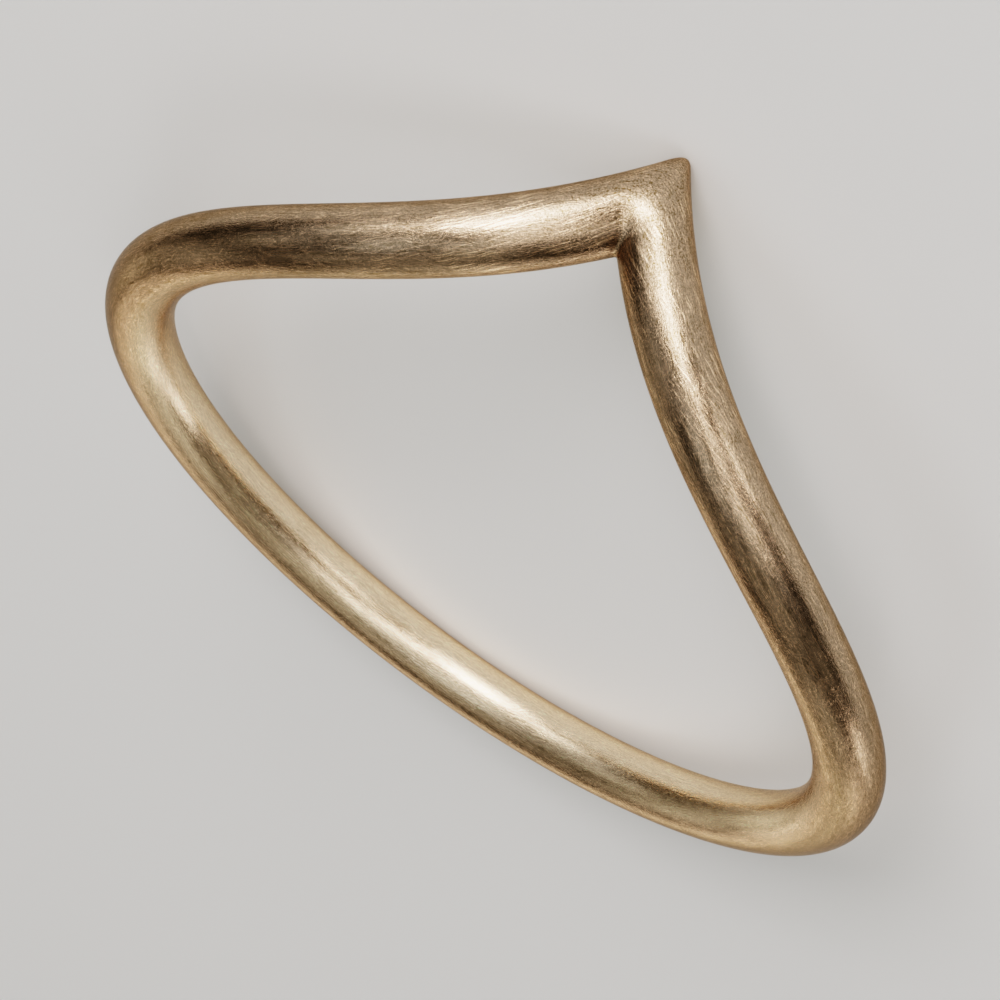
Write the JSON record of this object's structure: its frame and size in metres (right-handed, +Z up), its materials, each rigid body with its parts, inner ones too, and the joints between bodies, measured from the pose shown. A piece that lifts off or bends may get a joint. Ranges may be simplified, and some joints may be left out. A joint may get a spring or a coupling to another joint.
{
  "type": "chevron ring",
  "caption": "Plain finger ring of satin gold wire whose arms sweep along the finger and meet in a mitred chevron point, lying on its side.",
  "frame": {"origin": "middle of the ring's outline, on the surface that it lies on", "axes": "+Z up from that surface; -Y towards the chevron's point; X across the band, which is the same on both sides of X = 0. The finger's axis lies in the YZ plane and leans back from +Z by the rest angle"},
  "size_m": [0.0196, 0.0202, 0.0052],
  "materials": {
    "satin_gold": "14 carat yellow gold, satin brushed along the wire with fine cross scratches"
  },
  "bodies": {
    "root": {"chevron_band": "satin_gold"}
  },
  "joints": []
}
